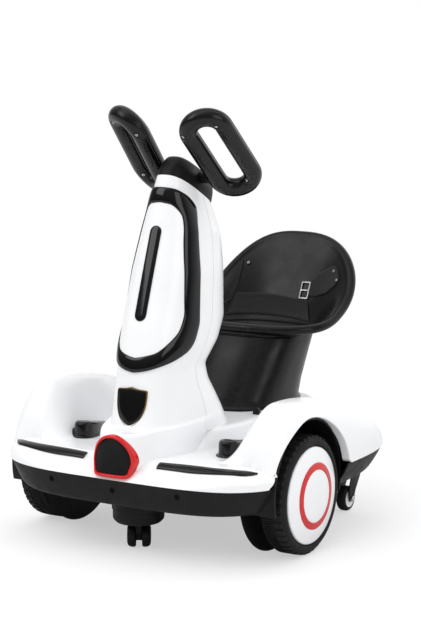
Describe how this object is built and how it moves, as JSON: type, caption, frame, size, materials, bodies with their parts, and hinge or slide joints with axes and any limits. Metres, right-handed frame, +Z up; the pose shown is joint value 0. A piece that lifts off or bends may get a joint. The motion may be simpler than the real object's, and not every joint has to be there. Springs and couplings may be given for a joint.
{
  "type": "kids electric drift scooter",
  "caption": "Low white ride-on body with fenders over two driven wheels, a steering column with ring levers, a belted bucket seat and swivel casters front and rear.",
  "frame": {"origin": "on the floor under the middle of the overall box", "axes": "+Z up, the nose faces -Y, +X is the rider's left, which is the right side in a view of the front"},
  "size_m": [0.5558, 0.6564, 0.732],
  "materials": {
    "white_gloss": "glossy white moulding",
    "black_gloss": "glossy black moulding",
    "black_plastic": "fine texture",
    "grey_plastic": "fine texture",
    "seat_plastic": "satin black moulding",
    "webbing": "woven",
    "rubber": "dull",
    "red_gloss": "glossy red",
    "bare_steel": "satin",
    "chrome": "bright",
    "battery_case": "plain",
    "circuit_green": "plain"
  },
  "bodies": {
    "chassis": {"body_shell": "white_gloss", "base_tub": "grey_plastic", "column_front_cover": "white_gloss", "column_rear_cover": "white_gloss", "column_trim": "black_gloss", "column_plate": "white_gloss", "front_strip": "black_gloss", "shield_badge": "black_gloss", "nose_border": "red_gloss", "nose_panel": "black_gloss", "left_lamp_pod": "black_gloss", "right_lamp_pod": "black_gloss", "left_apron_bar": "black_gloss", "right_apron_bar": "black_gloss", "seat_bucket": "seat_plastic", "seat_pedestal": "seat_plastic", "waist_strap": "webbing", "left_belt_tab": "black_plastic", "right_belt_tab": "webbing", "belt_slide": "bare_steel", "console_cap": "black_plastic", "column_post": "bare_steel", "pivot_rod": "bare_steel", "battery": "battery_case", "control_board": "circuit_green", "front_caster_housing": "black_plastic", "left_return_spring": "bare_steel", "left_gear_motor": "black_plastic", "right_return_spring": "bare_steel", "right_gear_motor": "black_plastic"},
    "left_lever": {"left_handle_front": "black_gloss", "left_handle_rear": "black_gloss", "left_lever_hub": "grey_plastic"},
    "left_drive_wheel": {"left_tyre": "rubber", "left_rim": "grey_plastic", "left_wheel_cap": "white_gloss", "left_wheel_ring": "red_gloss", "left_drive_axle": "bare_steel"},
    "left_rear_swivel": {"left_rear_caster_fork": "grey_plastic", "left_rear_caster_bolt": "chrome"},
    "left_rear_roller": {"left_rear_caster_wheel": "rubber"},
    "right_lever": {"right_handle_front": "black_gloss", "right_handle_rear": "black_gloss", "right_lever_hub": "grey_plastic"},
    "right_drive_wheel": {"right_tyre": "rubber", "right_rim": "grey_plastic", "right_wheel_cap": "white_gloss", "right_wheel_ring": "red_gloss", "right_drive_axle": "bare_steel"},
    "right_rear_swivel": {"right_rear_caster_fork": "grey_plastic", "right_rear_caster_bolt": "chrome"},
    "right_rear_roller": {"right_rear_caster_wheel": "rubber"},
    "front_swivel": {"front_caster_fork": "black_plastic", "front_caster_axle": "bare_steel"},
    "front_left_roller": {"front_caster_wheel_left": "black_plastic"},
    "front_right_roller": {"front_caster_wheel_right": "black_plastic"},
    "power_push": {"power_button": "red_gloss"},
    "music_push": {"music_button": "grey_plastic"}
  },
  "joints": [
    {"name": "left_lever_swing", "type": "hinge", "parent": "chassis", "child": "left_lever", "pos_m": [0, -0.08525, 0.6105], "axis": [1, 0, 0], "range_deg": [-15, 15], "stiffness_Nm_per_rad": 3},
    {"name": "left_wheel_turn", "type": "hinge", "parent": "chassis", "child": "left_drive_wheel", "pos_m": [-0.24, -0.12325, 0.1], "axis": [1, 0, 0], "continuous": true},
    {"name": "left_rear_caster_swivel", "type": "hinge", "parent": "chassis", "child": "left_rear_swivel", "pos_m": [-0.178, 0.18375, 0.067], "axis": [0, 0, 1], "continuous": true},
    {"name": "left_rear_caster_roll", "type": "hinge", "parent": "left_rear_swivel", "child": "left_rear_roller", "pos_m": [-0.178, 0.16375, 0.0225], "axis": [1, 0, 0], "continuous": true},
    {"name": "right_lever_swing", "type": "hinge", "parent": "chassis", "child": "right_lever", "pos_m": [0, -0.08525, 0.6105], "axis": [1, 0, 0], "range_deg": [-15, 15], "stiffness_Nm_per_rad": 3},
    {"name": "right_wheel_turn", "type": "hinge", "parent": "chassis", "child": "right_drive_wheel", "pos_m": [0.24, -0.12325, 0.1], "axis": [1, 0, 0], "continuous": true},
    {"name": "right_rear_caster_swivel", "type": "hinge", "parent": "chassis", "child": "right_rear_swivel", "pos_m": [0.178, 0.18375, 0.067], "axis": [0, 0, 1], "continuous": true},
    {"name": "right_rear_caster_roll", "type": "hinge", "parent": "right_rear_swivel", "child": "right_rear_roller", "pos_m": [0.178, 0.16375, 0.0225], "axis": [1, 0, 0], "continuous": true},
    {"name": "front_caster_swivel", "type": "hinge", "parent": "chassis", "child": "front_swivel", "pos_m": [0, -0.24125, 0.06], "axis": [0, 0, 1], "continuous": true},
    {"name": "front_left_roll", "type": "hinge", "parent": "front_swivel", "child": "front_left_roller", "pos_m": [-0.00721, -0.22925, 0.02], "axis": [0.8572, 0.515, 0], "continuous": true},
    {"name": "front_right_roll", "type": "hinge", "parent": "front_swivel", "child": "front_right_roller", "pos_m": [-0.00721, -0.22925, 0.02], "axis": [0.8572, 0.515, 0], "continuous": true},
    {"name": "power_button_press", "type": "slide", "parent": "chassis", "child": "power_push", "axis": [0, -0.4591, -0.8884], "range_m": [0, 0.002], "stiffness_N_per_m": 200},
    {"name": "music_button_press", "type": "slide", "parent": "chassis", "child": "music_push", "axis": [0, -0.4591, -0.8884], "range_m": [0, 0.002], "stiffness_N_per_m": 200}
  ]
}
